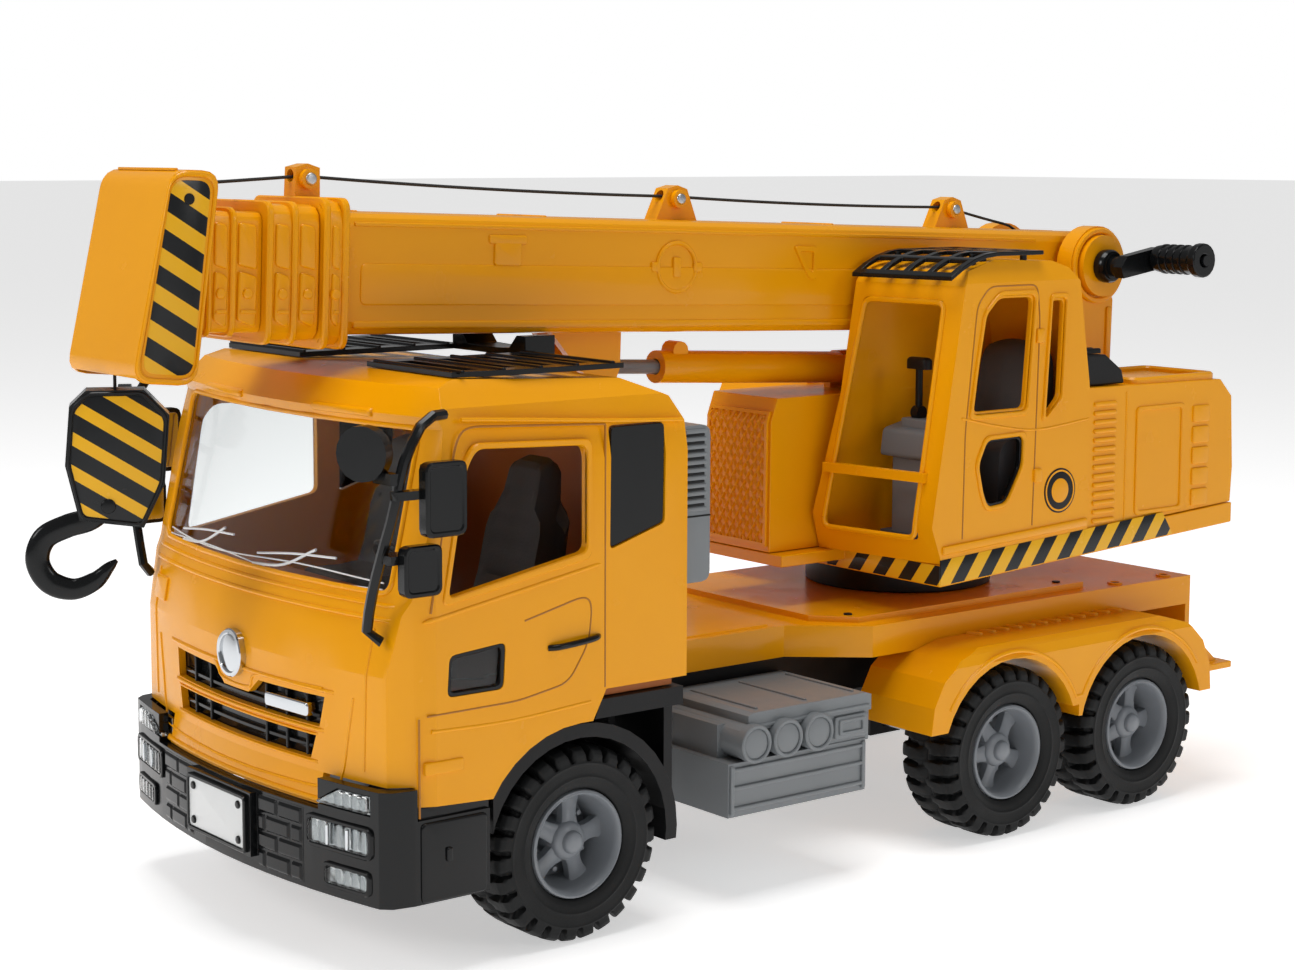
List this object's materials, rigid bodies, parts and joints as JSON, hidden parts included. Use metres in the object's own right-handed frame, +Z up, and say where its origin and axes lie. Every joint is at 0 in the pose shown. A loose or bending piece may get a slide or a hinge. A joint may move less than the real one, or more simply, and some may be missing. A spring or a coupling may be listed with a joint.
{
  "type": "toy crane truck",
  "caption": "Toy lorry-mounted crane with rolling wheels, a turning upper cab, a raising and telescoping boom, and a hand-cranked winch that lowers a hook.",
  "frame": {"origin": "middle of the footprint's bounding box, on the ground", "axes": "+Z up, the front of the truck towards -Y, its left side towards +X"},
  "size_m": [0.21, 0.5426, 0.2796],
  "materials": {
    "yellow": "glossy moulded",
    "black": "glossy moulded",
    "silver_grey": "satin metallic moulded",
    "interior_brown": "satin moulded",
    "dark_grey": "matte moulded",
    "clear": "clear polished",
    "smoked": "polished",
    "rubber": "moulded tread",
    "steel": "plated",
    "cord": "braided"
  },
  "bodies": {
    "truck": {"cab_shell": "yellow", "windscreen": "clear", "quarter_window_left": "smoked", "quarter_window_right": "smoked", "grille": "black", "cab_interior": "interior_brown", "roof_rack": "black", "mirror_arm_left": "black", "mirror_arm_right": "black", "air_intake": "silver_grey", "bumper": "black", "lamp_insert_left": "clear", "lamp_insert_right": "clear", "chassis_frame": "black", "chassis_deck": "yellow", "rear_wing_left": "yellow", "rear_wing_right": "yellow", "tail_bar": "yellow", "tool_locker_left": "silver_grey", "tool_locker_right": "silver_grey", "slewing_ring": "black"},
    "turret": {"turret_floor": "yellow", "slew_washer": "black", "turret_shell": "yellow", "engine_cover": "black", "operator_cab": "yellow", "operator_interior": "dark_grey", "roof_guard": "black", "winch_tower": "yellow"},
    "winch": {"winch_drum": "black", "winch_crank": "black"},
    "grip": {"crank_grip": "black"},
    "ram_barrel": {"cylinder_barrel": "yellow"},
    "ram_rod": {"cylinder_rod": "silver_grey"},
    "boom": {"boom_main_section": "yellow", "winch_cord": "cord"},
    "boom_middle": {"boom_middle_section": "yellow"},
    "boom_tip": {"boom_tip_section": "yellow", "boom_head": "yellow", "head_guide": "black"},
    "block": {"hook_block": "black", "hook_cord": "cord"},
    "hook": {"hook": "black"},
    "front_wheels": {"front_axle": "steel", "front_tyre_left": "rubber", "front_rim_left": "silver_grey", "front_tyre_right": "rubber", "front_rim_right": "silver_grey"},
    "middle_wheels": {"middle_axle": "steel", "middle_tyre_left": "rubber", "middle_rim_left": "silver_grey", "middle_tyre_right": "rubber", "middle_rim_right": "silver_grey"},
    "rear_wheels": {"rear_axle": "steel", "rear_tyre_left": "rubber", "rear_rim_left": "silver_grey", "rear_tyre_right": "rubber", "rear_rim_right": "silver_grey"}
  },
  "joints": [
    {"name": "front_axle_spin", "type": "hinge", "parent": "truck", "child": "front_wheels", "pos_m": [0, -0.10798, 0.036], "axis": [1, 0, 0], "continuous": true},
    {"name": "middle_axle_spin", "type": "hinge", "parent": "truck", "child": "middle_wheels", "pos_m": [0, 0.11452, 0.036], "axis": [1, 0, 0], "continuous": true},
    {"name": "rear_axle_spin", "type": "hinge", "parent": "truck", "child": "rear_wheels", "pos_m": [0, 0.19612, 0.036], "axis": [1, 0, 0], "continuous": true},
    {"name": "turret_slew", "type": "hinge", "parent": "truck", "child": "turret", "pos_m": [0, 0.13992, 0.1], "axis": [0, 0, 1], "continuous": true},
    {"name": "boom_luff", "type": "hinge", "parent": "turret", "child": "boom", "pos_m": [0, 0.23132, 0.233], "axis": [-1, 0, 0], "range_deg": [0, 45]},
    {"name": "cylinder_tilt", "type": "hinge", "parent": "turret", "child": "ram_barrel", "pos_m": [0, 0.11132, 0.1905], "axis": [-1, 0, 0], "range_deg": [0, 64.14]},
    {"name": "rod_slide", "type": "slide", "parent": "ram_barrel", "child": "ram_rod", "axis": [0, -0.9986, 0.0531], "range_m": [0, 0.08094]},
    {"name": "middle_slide", "type": "slide", "parent": "boom", "child": "boom_middle", "axis": [0, -0.9993, 0.0366], "range_m": [0, 0.15]},
    {"name": "tip_slide", "type": "slide", "parent": "boom_middle", "child": "boom_tip", "axis": [0, -0.9993, 0.0366], "range_m": [0, 0.15]},
    {"name": "winch_spin", "type": "hinge", "parent": "turret", "child": "winch", "pos_m": [0, 0.23132, 0.233], "axis": [1, 0, 0], "range_deg": [0, 736.66]},
    {"name": "grip_spin", "type": "hinge", "parent": "winch", "child": "grip", "pos_m": [0.06, 0.24932, 0.2365], "axis": [1, 0, 0], "continuous": true},
    {"name": "hook_hoist", "type": "slide", "parent": "boom_tip", "child": "block", "axis": [0, 0, -1], "range_m": [0, 0.09]},
    {"name": "hook_swing", "type": "hinge", "parent": "block", "child": "hook", "pos_m": [-0.00131, -0.24337, 0.1609], "axis": [0.8988, -0.4384, 0], "range_deg": [-25, 25]}
  ],
  "couplings": [
    {"joint": "cylinder_tilt", "follows": "boom_luff", "ratio": 1.403},
    {"joint": "rod_slide", "follows": "boom_luff", "m_per_rad": 0.10178},
    {"joint": "winch_spin", "follows": "hook_hoist", "rad_per_m": 142.86}
  ]
}
